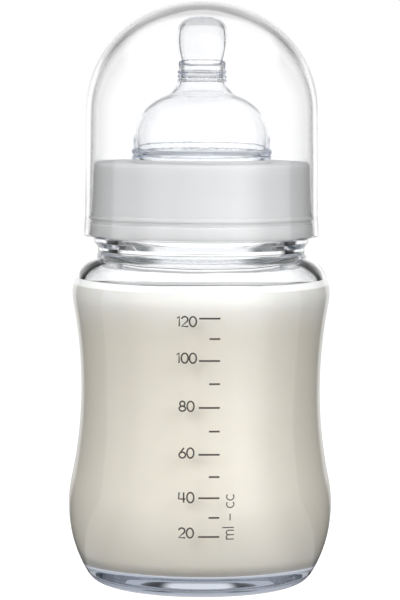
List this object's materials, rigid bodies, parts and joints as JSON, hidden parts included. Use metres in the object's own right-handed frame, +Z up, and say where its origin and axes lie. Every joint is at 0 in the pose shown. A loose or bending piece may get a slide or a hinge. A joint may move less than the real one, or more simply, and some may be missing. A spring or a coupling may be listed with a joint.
{
  "type": "baby bottle",
  "caption": "Waisted glass baby bottle filled with milk, with a volume scale, a white screw collar, a clear wide-base silicone teat and a clear dome hood.",
  "frame": {"origin": "centre of the ring that the bottle stands on, at table height", "axes": "+Z up along the bottle's axis, -Y towards the front, where the volume scale is, +X to the right of a viewer who faces the scale"},
  "size_m": [0.061, 0.061, 0.1346],
  "materials": {
    "clear_glass": "clear, thick, fire-polished glass",
    "milk": "opaque warm white liquid",
    "print": "fired grey-brown enamel print",
    "white_plastic": "satin white moulded plastic",
    "silicone": "clear, slightly milky silicone",
    "clear_plastic": "clear, glossy moulded plastic"
  },
  "bodies": {
    "bottle": {"glass_body": "clear_glass", "milk": "milk", "graduation_scale": "print"},
    "nipple": {"teat": "silicone"},
    "screw_collar": {"collar": "white_plastic"},
    "cap": {"hood": "clear_plastic"}
  },
  "joints": [
    {"name": "teat_lift", "type": "slide", "parent": "bottle", "child": "nipple", "axis": [0, 0, 1], "range_m": [0, 0.0051]},
    {"name": "collar_turn", "type": "hinge", "parent": "nipple", "child": "screw_collar", "pos_m": [0, 0, 0.0891], "axis": [0, 0, 1], "range_deg": [0, 450]},
    {"name": "hood_lift", "type": "slide", "parent": "screw_collar", "child": "cap", "axis": [0, 0, 1], "range_m": [0, 0.06]}
  ],
  "couplings": [
    {"joint": "teat_lift", "follows": "collar_turn", "m_per_rad": 0.00063662}
  ]
}
